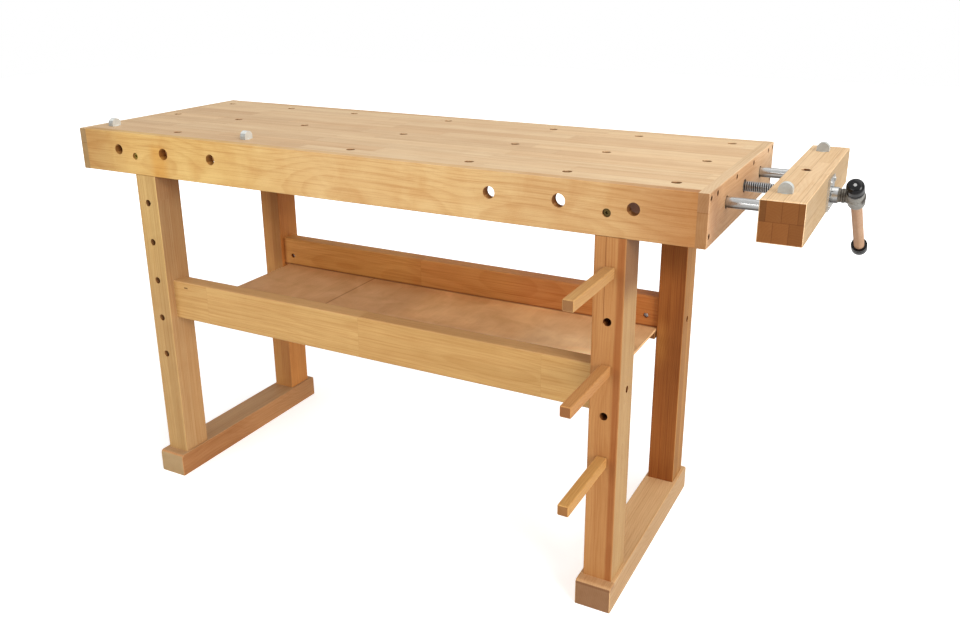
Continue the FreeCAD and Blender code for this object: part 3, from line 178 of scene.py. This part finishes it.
def wood(name, grain, pale, deep, staves=(1000, 1000), offset=(0, 0), length=5000, seed=0,
         figure=1.0, rings=4.5, spread=1.0, glue=0.35, end=(0.62, 0.5, 0.4), rough=0.56, pith=70,
         warm=0.3, streak=0.5, stagger=0.0, ripple=1.0, rise=0.0, thin=0.15, blotch=0.3, block=1.0,
         marks=(), room=None, hollow=(0.52, 0.40, 0.32)):
    """Wood like beech, in mm: staves are the strip widths on the two axes across the grain, and length
    is that of the finger-jointed pieces in each strip.  Each mark is a pair of ends on X, Y
    and Z or None, a blur and a tint; some marks are the wood's own colour and some are painted light
    or painted shade.  The rise is the pith's slope along the grain.  The room
    is the box inside the piece's faces, where only the walls of holes lie, and hollow their
    tint, a painted shade on the walls of the holes."""
    s = Shader(name, Roughness=rough, IOR=1.45)
    s.surface.inputs["Specular IOR Level"].default_value = 0.2
    across = [axis for axis in "XYZ" if axis != grain]
    g, first, second = (s.xyz[axis] for axis in (grain, *across))
    cells, places, edges = [0, 0], [0, 0], [0, 0]
    for index in (1, 0):
        from_corner = s.math("SUBTRACT", (first, second)[index], offset[index])
        at = s.math("DIVIDE", from_corner, staves[index])
        if stagger and not index:
            at = s.math("ADD", at, s.math("MULTIPLY", cells[1], stagger))
        cells[index] = s.math("FLOOR", at)
        rest = s.math("FRACT", at)
        inward = s.math("MINIMUM", rest, s.math("SUBTRACT", 1.0, rest))
        edges[index] = s.math("MULTIPLY", inward, staves[index])
        places[index] = s.math("MULTIPLY", s.math("SUBTRACT", rest, 0.5), staves[index])
    strip = s.random(s.vector(cells[0], cells[1], float(seed)))
    slide = s.math("ADD", g, s.math("MULTIPLY", strip[0], length))
    fingers = s.math("MULTIPLY", s.math("PINGPONG", first, 3.0), 2.2)
    along = s.math("DIVIDE", s.math("ADD", slide, fingers), length)
    piece = s.math("FLOOR", along)
    rest = s.math("FRACT", along)
    butt = s.math("MULTIPLY", s.math("MINIMUM", rest, s.math("SUBTRACT", 1.0, rest)), length)
    key = s.vector(s.math("ADD", cells[0], seed * 3.0), s.math("ADD", cells[1], seed * 5.0), piece)
    chance = s.random(key)
    shift = s.math("MULTIPLY", chance[1], 900.0)

    def field(lengthwise, crosswise, detail, roughness=0.5):
        """Noise in this piece of wood, with its scales along and across the grain."""
        return s.noise(s.vector(s.math("MULTIPLY", s.math("ADD", g, shift), lengthwise),
                                s.math("MULTIPLY", s.math("ADD", first, shift), crosswise),
                                s.math("MULTIPLY", second, crosswise)), detail, roughness)

    # rings about a pith that wanders past the piece
    slow = s.math("MULTIPLY", s.math("ADD", g, shift), 0.0032)
    wander = s.noise(s.vector(slow, chance[0], chance[2]), 1.0)
    wander = s.math("MULTIPLY", s.math("SUBTRACT", wander, 0.5), 95.0 * ripple)
    aside = s.math("MULTIPLY", s.math("SUBTRACT", chance[0], 0.5), 2 * pith)
    side = s.math("ADD", places[0], s.math("ADD", wander, aside))
    depth = s.math("ADD", places[1], s.math("ADD", s.math("MULTIPLY", chance[2], pith), 0.25 * pith))
    depth = s.math("ADD", depth, s.math("MULTIPLY", g, rise))
    radius = s.math("SQRT", s.math("ADD", s.math("MULTIPLY", side, side), s.math("MULTIPLY", depth, depth)))
    uneven = field(0.006, 0.03, 2.0)
    ring = s.math("FRACT", s.math("ADD", s.math("DIVIDE", radius, rings),
                                  s.math("MULTIPLY", uneven, 2.2 * ripple)))
    crest = 0.88   # where in a ring the late wood is darkest
    late = s.math("MULTIPLY", s.step(ring, thin, crest),
                  s.math("SUBTRACT", 1.0, s.step(ring, crest, 1.0)))
    band = field(0.0022, 0.045, 2.0)
    streaks = s.step(field(0.0045, 0.42, 3.0, 0.6), 0.45, 0.72)
    fibre = field(0.03, 0.9, 3.0, 0.6)
    fleck = s.step(field(0.35, 2.4, 1.0), 0.60, 0.72)
    across_grain = s.facing(grain)
    lengthwise = s.math("SUBTRACT", 1.0, across_grain)

    tone = s.math("ADD", s.math("MULTIPLY", s.math("SUBTRACT", chance[0], 0.5), 0.75 * spread),
                  s.math("MULTIPLY", s.math("SUBTRACT", band, 0.5), 1.3 * spread))
    cloud = s.noise(s.scaled(0.014), 4.0, 0.55, 0.6)
    tone = s.math("ADD", tone, s.math("MULTIPLY", s.math("SUBTRACT", cloud, 0.5), 2.2 * blotch))
    tone = s.math("ADD", tone, 0.45, clamp=True)
    colour = s.mix(tone, pale, deep)
    reddish = (1.03, 0.90, 0.78)
    colour = s.mix(s.math("MULTIPLY", chance[2], warm), colour, s.mix(1.0, colour, reddish, "MULTIPLY"))
    colour = s.tint(colour, s.math("MULTIPLY", late, 0.30 * figure), (0.72, 0.52, 0.34))
    drawn = s.math("MULTIPLY", s.math("MULTIPLY", streaks, lengthwise), streak)
    colour = s.tint(colour, drawn, (0.74, 0.57, 0.42))
    hair = s.step(field(0.012, 1.3, 2.0, 0.7), 0.58, 0.70)
    hairs = s.math("MULTIPLY", s.math("MULTIPLY", hair, lengthwise), 0.45)
    colour = s.tint(colour, hairs, (0.72, 0.58, 0.46))
    colour = s.shade(colour, fibre, 1.06, 0.94)
    colour = s.tint(colour, s.math("MULTIPLY", fleck, 0.3), (0.74, 0.62, 0.50))
    seam = s.math("MINIMUM", s.math("MINIMUM", edges[0], edges[1]), butt)
    line = s.math("SUBTRACT", 1.0, s.step(seam, 0.15, 0.7))
    colour = s.tint(colour, s.math("MULTIPLY", line, glue), (0.42, 0.28, 0.18))

    # end grain: darker and redder, with pores as dots
    pores = s.noise(s.vector(s.math("MULTIPLY", first, 1.1), s.math("MULTIPLY", second, 1.1), 0.0), 3.0, 0.7)
    dark = s.mix(1.0, colour, end, "MULTIPLY")
    dark = s.shade(dark, pores, 1.2, 0.78)
    dark = s.shade(dark, chance[1], 1.0 + 0.2 * block, 1.0 - 0.2 * block)
    colour = s.mix(across_grain, colour, dark)
    # the walls of holes get the hollow tint, a painted shade
    if room:
        colour = s.tint(colour, s.within(room, 0.15), hollow)
    for *zones, blur, tint in marks:
        colour = s.tint(colour, s.within(zones, blur), tint)
    s.set("Base Color", colour)
    rough_map = s.math("ADD", s.math("MULTIPLY", fibre, 0.16), rough - 0.08)
    s.set("Roughness", s.math("ADD", rough_map, s.math("MULTIPLY", across_grain, 0.2)))
    height = s.math("SUBTRACT", s.math("MULTIPLY", fibre, 0.5), s.math("MULTIPLY", line, 0.6))
    height = s.math("SUBTRACT", height, s.math("MULTIPLY", fleck, 0.3))
    s.bump(height, 0.00025, 0.7)
    return s.material


def dress(material, *names):
    for name in names:
        slots = nodes[name].data.materials
        slots.clear()
        slots.append(material)


def metal(name, colour, rough=0.3, metallic=1.0, mottle=0.06, size=0.5, squeeze=1.0, groove=None,
          front=1.0, below=1.0, left=None):
    """Metal with slightly uneven colour and gloss; a squeeze under 1 draws its texture out
    along X.  A groove is an axis' Y and Z in mm, two radii and the tint at the inner one, a
    painted shade in the groove's root.  Front and below are how bright the faces across Y and
    those that look down are, painted shade on those faces, and left is the
    tint of what lies in the left half of the bench."""
    s = Shader(name, Metallic=metallic, IOR=1.5)
    spot = s.noise(s.scaled(size, squeeze), 4.0, 0.6)
    cloud = s.noise(s.scaled(0.05), 2.0)
    base = s.plain(colour)
    base = s.shade(base, spot, 1.0 - mottle, 1.0 + mottle)
    base = s.shade(base, cloud, 1.0 - mottle, 1.0 + mottle)
    rough_map = s.math("ADD", s.math("MULTIPLY", spot, 0.22), rough - 0.11)
    # painted shade on the faces across Y and on those that look down
    if front < 1.0:
        base = s.shade(base, s.facing("Y"), 1.0, front)
    if below < 1.0:
        base = s.shade(base, s.downward(), 1.0, below)
    if left:
        base = s.tint(base, s.within([(-1000, 0)], 1), left)
    if groove:
        y, z, inner, outer, tint = groove
        # painted shade in the groove's root, which is also made rougher
        groove_shade = s.math("SUBTRACT", 1.0, s.step(s.radius(y, z), inner, outer))
        base = s.tint(base, groove_shade, tint)
        rough_map = s.math("ADD", rough_map, s.math("MULTIPLY", groove_shade, 0.3))
    s.set("Base Color", base)
    s.set("Roughness", rough_map)
    s.bump(spot, 0.00008, 0.5)
    return s.material


def hammered(name, colour):
    """Hammer-finish paint on a casting: dimples about 3 mm across, and painted shade in the grooves round its
    neck.
    """
    s = Shader(name, Metallic=0.4, IOR=1.5)
    cells = s.new("ShaderNodeTexVoronoi", feature="SMOOTH_F1")
    s.link(s.scaled(0.36), cells.inputs["Vector"])
    cells.inputs["Scale"].default_value = 1.0
    dimple = cells.outputs["Distance"]
    base = s.plain(colour)
    base = s.shade(base, dimple, 0.5, 1.5)
    radius = s.radius(VISE_Y, VISE_Z)
    # painted shade in the grooves round the neck, darkest nearest the axis
    base = s.tint(base, s.math("SUBTRACT", 1.0, s.step(radius, 13.0, 13.6)), (0.6, 0.55, 0.5))
    base = s.tint(base, s.math("SUBTRACT", 1.0, s.step(radius, 12.0, 12.6)), (0.35, 0.32, 0.3))
    s.set("Base Color", base)
    s.set("Roughness", s.math("ADD", s.math("MULTIPLY", dimple, 0.2), 0.3))
    s.bump(dimple, 0.0006, 0.8)
    return s.material


def plastic(name, colour):
    s = Shader(name, IOR=1.49)
    s.surface.inputs["Specular IOR Level"].default_value = 0.2
    s.surface.inputs["Coat Weight"].default_value = 0.15
    s.surface.inputs["Coat Roughness"].default_value = 0.06
    spot = s.noise(s.scaled(0.7), 3.0)
    base = s.plain(colour)
    s.set("Base Color", s.shade(base, spot, 0.8, 1.2))
    s.set("Roughness", s.math("ADD", s.math("MULTIPLY", spot, 0.08), 0.14))
    s.bump(spot, 0.00005, 0.3)
    return s.material


# ---- materials ----

OX, OY = 857.5, 167.35   # bench left end and front face, in mm from the origin
VISE_Y, VISE_Z = 95.15, 819   # axis of the vise screw

# ranges in mm that hold one face each, for the marks
WORKTOP_TOP = (859.5, 870)
STRETCHER_TOP = (505.2, 510)
SHELF_TOP = (430, 440)
CAP_OUTSIDE = (641, 645)


def ends(label):
    """The two ends of a piece on X, Y and Z, in mm."""
    low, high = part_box(label)
    return [(1000 * a, 1000 * b) for a, b in zip(low, high)]


def board(label, grain, pale, deep, staves=(1000, 1000), skin=0.9, **looks):
    """Dress one piece in wood of its own, with its strips laid from its low corner; the skin
    is deeper than the piece's rounded edges."""
    around = ends(label)
    corner = [around["XYZ".index(axis)][0] for axis in "XYZ" if axis != grain]
    start = [low if width < 500 else low - 400 for low, width in zip(corner, staves)]
    room = [(low + skin, high - skin) for low, high in around]
    looks = {"offset": start, "room": room, **looks}
    dress(wood("beech_" + label, grain, pale, deep, staves=staves, **looks), label)


# hollow in these calls is the painted shade on the walls of holes
board("top_slab", "X", (0.80, 0.60, 0.37), (0.66, 0.45, 0.26), staves=(44.1, 1000), length=430, seed=3,
      figure=0.5, glue=0.3, hollow=(0.42, 0.32, 0.25),
      # the mark lightens the right part of the worktop: painted light from the lamp side
      marks=[((250, 900), None, None, 300, (1.07, 1.08, 1.08))])
board("front_apron", "X", (0.67, 0.47, 0.18), (0.56, 0.325, 0.10), seed=12, rings=6.5, pith=90,
      spread=0.6,
      figure=0.8, ripple=0.4, rise=0.03, thin=0.45, warm=0.4, blotch=0.7, hollow=(0.75, 0.62, 0.52),
      marks=[((-900, -745), None, None, 60, (0.77, 0.70, 0.68)),
             ((-900, -845), None, None, 12, (0.94, 0.9, 0.88)),
             ((-630, -585), None, (700, 835), 14, (0.97, 0.84, 0.62)),
             ((-300, 700), None, None, 200, (1.0, 1.02, 1.28)),
             ((250, 700), None, None, 150, (0.88, 0.82, 0.80)),
             ((540, 760), None, None, 90, (0.73, 0.55, 0.44)),
             (None, None, WORKTOP_TOP, 0.3, (1.16, 1.22, 1.45))])
board("back_apron", "X", (0.74, 0.50, 0.27), (0.60, 0.35, 0.16), staves=(1000, 60), length=700,
      seed=17, figure=0.8,
      marks=[(None, None, WORKTOP_TOP, 0.3, (1.08, 1.20, 1.38))])
for label in ("left_end_cap", "right_end_cap"):
    near = (-OY - 1, -OY + 0.6)
    board(label, "Y", (0.68, 0.44, 0.25), (0.55, 0.33, 0.163), seed=23, figure=0.6, ripple=0.5,
          hollow=(0.16, 0.11, 0.08), end=(0.58, 0.47, 0.352),
          marks=[((-900, 900), near, (826, 870), 0.4, (0.98, 1.0, 1.09)),
                 ((-900, 900), near, (825.4, 826.6), 0.3, (0.75, 0.65, 0.55)),
                 (None, None, WORKTOP_TOP, 0.3, (1.18, 1.38, 1.56)),
                 ((-900, -800), near, None, 0.4, (1.0, 1.25, 1.32)),
                 (CAP_OUTSIDE, (-OY + 0.6, -OY + 65, 30), None, 0.6, (0.74, 0.70, 0.71)),
                 (CAP_OUTSIDE, (190, 400, 50), None, 0.6, (1.18, 1.32, 1.48))])
board("left_front_leg", "Z", (0.68, 0.48, 0.215), (0.53, 0.335, 0.135), staves=(30, 37), seed=31,
      figure=0.6,
      marks=[(None, (-OY + 1.6, 0), None, 0.8, (0.91, 0.84, 0.90)),
             (None, (-OY - 2, -OY + 1.6), (520, 900, 140), 0.8, (1.16, 1.24, 1.2)),
             # the next two marks darken the tops of the side faces: painted shade under the worktop
             (None, (-OY + 1.6, 0), (560, 900, 140), 0.8, (0.86, 0.88, 0.92)),
             (None, (-OY + 1.6, 0), (705, 900, 40), 0.8, (0.88, 0.80, 0.78)),
             (None, (-OY + 1.6, 0), (0, 380, 100), 0.8, (1.12, 1.14, 1.14))])
board("left_back_leg", "Z", (0.61, 0.32, 0.10), (0.48, 0.215, 0.069), staves=(30, 37), seed=32, figure=0.6,
      # painted light and shade: the side facing the lamps is lightened, and the front by the stretcher and
      # the leg's upper part get painted shade under the worktop
      marks=[((-628.9, 0), None, None, 0.4, (1.5, 1.4, 1.26)),
             ((-655, -629.5, 5), None, (420, 900, 30), 0.4, (0.77, 0.72, 0.64)),
             (None, None, (570, 900, 70), 0.4, (0.78, 0.73, 0.63))])
leg = ends("right_front_leg")[0][0]
board("right_front_leg", "Z", (0.50, 0.26, 0.095), (0.41, 0.19, 0.062), seed=35, figure=0.6, glue=0.2,
      marks=[((leg + 21.6, leg + 22.6), None, (600, 900), 0.4, (0.42, 0.30, 0.22)),
             ((leg + 45, leg + 58.4), None, None, 3.0, (0.73, 0.55, 0.44)),
             ((leg + 59.4, leg + 70), None, None, 0.5, (1.12, 1.49, 1.96)),
             # the last mark is a painted shadow of the worktop's overhang on the top of the outer side
             ((leg + 59.4, leg + 70), None, (655, 900, 30), 0.5, (0.56, 0.44, 0.39))])
board("right_back_leg", "Z", (0.36, 0.13, 0.028), (0.25, 0.078, 0.0135), staves=(30, 37), seed=34, figure=1.2,
      streak=1.0, spread=1.3,
      marks=[((502.9, 510), None, None, 0.4, (1.7, 2.66, 4.2)),
             # the next mark is painted shade under the worktop on the leg's upper part
             ((400, 502), None, (580, 900, 45), 0.4, (0.66, 0.62, 0.45)),
             ((400, 502), None, (0, 105, 30), 0.4, (0.86, 0.80, 0.72)),
             ((400, 470, 6), None, (355, 450, 30), 0.4, (1.30, 1.50, 1.58))])
for label, pale, deep, end in (
        ("left_foot", (0.53, 0.277, 0.119), (0.43, 0.2025, 0.077), (0.78, 1.02, 1.22)),
        ("right_foot", (0.72, 0.47, 0.24), (0.59, 0.35, 0.155), (0.375, 0.30, 0.285)),
        ("left_rail", (0.66, 0.42, 0.20), (0.54, 0.31, 0.13), (0.6, 0.5, 0.4)),
        ("right_rail", (0.66, 0.42, 0.20), (0.54, 0.31, 0.13), (0.6, 0.5, 0.4))):
    out, top = ends(label)[0][1], ends(label)[2][1]
    marks = {"left_foot": [(None, None, (top - 0.5, top + 5), 0.3, (0.93, 1.11, 1.31)),
                           ((out - 0.5, out + 5), (-400, 60, 90), None, 0.3, (0.80, 0.72, 0.65))],
             "right_foot": [((out - 0.5, out + 5), None, None, 0.3, (0.76, 0.77, 0.82)),
                            (None, (-400, -OY), (top - 8, top + 5), 1.0, (0.78, 0.70, 0.66))],
             "right_rail": [((out - 1, out + 5), (-150, -60, 10), None, 0.5, (0.4, 0.25, 0.16))]}
    board(label, "Y", pale, deep, skin=2.8, seed=41, figure=0.6, block=0, end=end,
          marks=marks.get(label, ()))
knot = ((-OX + 262, -OX + 273), (-OY + 19, -OY + 21), (492, 495), 1.2, (0.25, 0.18, 0.14))
board("front_stretcher", "X", (0.60, 0.375, 0.145), (0.48, 0.275, 0.093), staves=(1000, 200),
      length=430, skin=2.0, seed=51, figure=0.6, spread=0.9, glue=0.15, ripple=0.3, rise=0.03,
      # the STRETCHER_TOP mark is painted light: the top face lighter than the sides, as if lit from above
      marks=[knot, (None, None, STRETCHER_TOP, 0.6, (1.13, 1.15, 1.34))])
inside = ends("back_stretcher")[1][0]
board("back_stretcher", "X", (0.60, 0.265, 0.072), (0.46, 0.18, 0.04), staves=(1000, 200),
      length=520, skin=2.0, seed=57, figure=0.9, spread=1.1, streak=0.7, ripple=0.3, rise=0.03,
      hollow=(0.5, 0.36, 0.3),
      # painted light and shadow: the top face is lightened, and the next two marks paint the shadow line
      # along the shelf and the shadow at the left leg's joint
      marks=[(None, None, STRETCHER_TOP, 0.6, (1.16, 1.30, 1.60)),
             (None, (inside - 1, inside + 0.5), (432, 437.5, 1.5), 0.3, (0.5, 0.42, 0.4)),
             ((-640, -620, 6), (inside - 1, inside + 0.5), None, 0.3, (0.72, 0.62, 0.6)),
             ((-700, -200, 60), None, None, 60, (1.06, 1.2, 1.22)),
             ((80, 500, 60), None, None, 60, (0.86, 0.78, 0.82))])
board("shelf_cleats", "X", (0.40, 0.22, 0.09), (0.32, 0.16, 0.06), seed=57)
board("stretcher_dowels", "X", (0.70, 0.46, 0.24), (0.6, 0.36, 0.17), seed=58)
(inner, outside), _, (under, _) = ends("vise_jaw")
board("vise_jaw", "Y", (0.86, 0.64, 0.40), (0.76, 0.53, 0.30), staves=(25.5, 37.7), stagger=0.5, length=330,
      offset=(inner - 1.2, under - 1.2), seed=61, figure=0.5, end=(0.235, 0.118, 0.048), spread=0.9,
      glue=0.55,
      marks=[(None, None, (859.3, 870), 0.3, (0.99, 0.97, 0.94)),
             ((outside - 0.6, outside + 5), None, None, 0.3, (0.615, 0.605, 0.575)),
             ((outside - 0.6, outside + 5), None, (780, 823.5), 0.3, (1.08, 1.1, 1.12))])
for count, (label, tint) in enumerate((("peg_upper", (0.98, 1.05, 1.12)),
                                       ("peg_middle", (0.99, 0.95, 0.94)),
                                       ("peg_lower", (1.12, 1.16, 1.06)))):
    board(label, "Y", (0.57, 0.325, 0.12), (0.46, 0.218, 0.074), seed=71 + count, figure=0.6,
          rings=3.5, pith=14, end=(0.45, 0.38, 0.38), marks=[(None, (-900, 900), None, 1, tint)])
board("handle_bar", "Z", (0.58, 0.40, 0.28), (0.50, 0.32, 0.20), seed=81, rings=3.0, pith=10,
      figure=0.4, room=None)
back = ends("shelf_panel")[1][1]
board("shelf_panel", "Y", (0.80, 0.50, 0.25), (0.62, 0.35, 0.155), offset=(-380, 500), seed=91, figure=0.0,
      spread=0.35, glue=0.2, warm=0.1, streak=0.0, blotch=1.0,
      marks=[((-330, -326), None, SHELF_TOP, 1.5, (0.66, 0.55, 0.48)),
             # the marks that lighten the shelf are painted light where the lamps leave it shaded, most
             # towards the right and behind the front stretcher; the dark line along the back edge is a
             # painted shadow against the back stretcher
             ((-130, 190, 40), (55, 400, 20), (*SHELF_TOP, 1), 1, (1.24, 1.28, 1.26)),
             ((190, 400, 40), (-170, 130, 30), (*SHELF_TOP, 1), 1, (1.14, 1.24, 1.35)),
             (None, (back - 5, back + 5), SHELF_TOP, 3, (0.5, 0.42, 0.36)),
             ((-180, 700, 40), (-170, 52, 12), SHELF_TOP, 1, (1.18, 1.24, 1.36)),
             ((300, 700, 40), (-170, 70, 12), SHELF_TOP, 1, (1.18, 1.18, 1.15)),
             ((100, 700), None, (*SHELF_TOP, 1), 120, (1.18, 1.26, 1.34))])

# the darker downward faces are painted shade on the undersides of the rods
dress(metal("chrome", (0.50, 0.50, 0.49), 0.2, mottle=0.04, squeeze=0.3, below=0.25),
      "guide_rod_front", "guide_rod_back", "screw_collar")
dress(metal("flange_steel", (0.66, 0.65, 0.62), 0.26, mottle=0.25, size=0.12), "jaw_flange", "flange_screws")
# the dark groove tint is painted shade in the thread roots
dress(metal("screw_steel", (0.45, 0.45, 0.45), 0.34, mottle=0.12,
            groove=(VISE_Y, VISE_Z, 8.6, 9.7, (0.06, 0.06, 0.06))), "vise_screw")
dress(metal("dark_steel", (0.16, 0.16, 0.17), 0.4), "retaining_ring", "ring_pin", "hub_pin", "rod_pins")
# the darker faces across Y are painted shade on the dogs' rounded sides
dress(metal("dog_zinc", (0.74, 0.76, 0.73), 0.42, metallic=0.5, mottle=0.2, size=0.3, front=0.5),
      "bench_dog_left", "bench_dog_right", "jaw_dog_front", "jaw_dog_back")
dress(metal("bolt_zinc", (0.10, 0.068, 0.024), 0.4, mottle=0.2, left=(3.6, 3.8, 2.4)), "apron_bolts")
dress(metal("nut_zinc", (0.92, 0.92, 0.90), 0.4, metallic=0.2, mottle=0.1), "barrel_nuts")
# the near-black colour is painted shade: it makes the screws' counterbores look dark
dress(metal("sunk_screws", (0.05, 0.045, 0.04), 0.5, mottle=0.12),
      "stretcher_bolts", "end_cap_screws", "rail_screws")
dress(metal("screw_zinc", (0.45, 0.45, 0.44), 0.36, mottle=0.1),
      "nut_screws", "bushing_screws", "knob_screws")
dress(hammered("cast_grey", (0.30, 0.29, 0.26)), "handle_hub", "vise_nut", "rod_bushings")
dress(plastic("black_plastic", (0.006, 0.006, 0.007)), "handle_knob", "handle_cap")


# ---- floor, lights and camera ----

def floor():
    s = Shader("studio_floor", Roughness=0.9, IOR=1.3)
    s.surface.inputs["Base Color"].default_value = (0.86, 0.86, 0.86, 1.0)
    path = s.new("ShaderNodeLightPath")
    s.surface.inputs["Emission Color"].default_value = (1.0, 1.0, 1.0, 1.0)
    squares = [s.math("POWER", s.math("DIVIDE", s.xyz[axis], 1000.0), 2.0) for axis in "XY"]
    away = s.step(s.math("SQRT", s.math("ADD", *squares)), 0.8, 3.5)
    glow = s.math("ADD", s.math("MULTIPLY", away, 0.4), 0.55)
    s.set("Emission Strength", s.math("MULTIPLY", path.outputs["Is Camera Ray"], glow))
    half = 9.0
    mesh = bpy.data.meshes.new("studio_floor")
    corners = [(-half, -half, 0), (half, -half, 0), (half, half, 0), (-half, half, 0)]
    mesh.from_pydata(corners, [], [(0, 1, 2, 3)])
    plane = bpy.data.objects.new("studio_floor", mesh)
    mesh.materials.append(s.material)
    bpy.context.scene.collection.objects.link(plane)


def world():
    """Even white light, seen white by the camera; reflections see a sky that greys downwards."""
    sky = bpy.data.worlds.new("studio")
    sky.use_nodes = True
    tree = sky.node_tree
    shade = tree.nodes["Background"]
    path = tree.nodes.new("ShaderNodeLightPath")
    place = tree.nodes.new("ShaderNodeTexCoord")
    split = tree.nodes.new("ShaderNodeSeparateXYZ")
    tree.links.new(place.outputs["Generated"], split.inputs[0])
    ramp = tree.nodes.new("ShaderNodeMapRange")
    tree.links.new(split.outputs["Z"], ramp.inputs["Value"])
    for socket, value in (("From Min", -0.05), ("From Max", 0.7), ("To Min", 0.22), ("To Max", 0.95)):
        ramp.inputs[socket].default_value = value
    glossy = tree.nodes.new("ShaderNodeMix")
    tree.links.new(path.outputs["Is Glossy Ray"], glossy.inputs[0])
    glossy.inputs[2].default_value = 0.5
    tree.links.new(ramp.outputs[0], glossy.inputs[3])
    seen = tree.nodes.new("ShaderNodeMix")
    tree.links.new(path.outputs["Is Camera Ray"], seen.inputs[0])
    tree.links.new(glossy.outputs[0], seen.inputs[2])
    seen.inputs[3].default_value = 1.0
    tree.links.new(seen.outputs[0], shade.inputs["Strength"])
    shade.inputs["Color"].default_value = (1.0, 1.0, 1.0, 1.0)
    bpy.context.scene.world = sky


def lamp(name, place, aim, size, watts, tint=(1.0, 1.0, 1.0)):
    light = bpy.data.lights.new(name, "AREA")
    light.shape = "RECTANGLE"
    light.size, light.size_y = size
    light.energy = watts
    light.color = tint
    thing = bpy.data.objects.new(name, light)
    thing.location = place
    thing.rotation_euler = (Vector(aim) - Vector(place)).to_track_quat("-Z", "Y").to_euler()
    bpy.context.scene.collection.objects.link(thing)


def camera():
    """The camera as fitted to the photo: focal length and middle in pixels, angles in radians."""
    width, height = 960, 627
    focal, across, down = 919.3, 479.3, 271.9
    yaw, pitch, roll = -0.4883, 0.3213, -0.0067
    place = Vector((1.8540 - OX / 1000, -1.4766 - OY / 1000, 1.2173))
    ahead = Vector((math.sin(yaw) * math.cos(pitch), math.cos(yaw) * math.cos(pitch), -math.sin(pitch)))
    level = Vector((math.cos(yaw), -math.sin(yaw), 0))
    upward = level.cross(ahead)
    right = math.cos(roll) * level + math.sin(roll) * upward
    up = math.cos(roll) * upward - math.sin(roll) * level
    data = bpy.data.cameras.new("camera")
    data.sensor_width = 36.0
    data.lens = focal * data.sensor_width / width
    data.shift_x = (width / 2 - across) / width
    data.shift_y = (down - height / 2) / width
    data.clip_end = 100
    thing = bpy.data.objects.new("camera", data)
    turn = Matrix((right, up, -ahead)).transposed()
    thing.matrix_world = Matrix.Translation(place) @ turn.to_4x4()
    bpy.context.scene.collection.objects.link(thing)
    bpy.context.scene.camera = thing


floor()
world()
lamp("key", (9.0, -5.0, 4.4), (0.0, 0.0, 0.6), (5.0, 5.0), 850, (1.0, 0.99, 0.97))
lamp("front", (-3.2, -7.5, 2.4), (0.0, 0.0, 0.5), (5.0, 4.0), 230)
lamp("top", (1.6, 0.3, 3.6), (0.3, 0.0, 0.8), (3.0, 3.0), 36)
camera()
bpy.context.scene.view_settings.view_transform = "Standard"
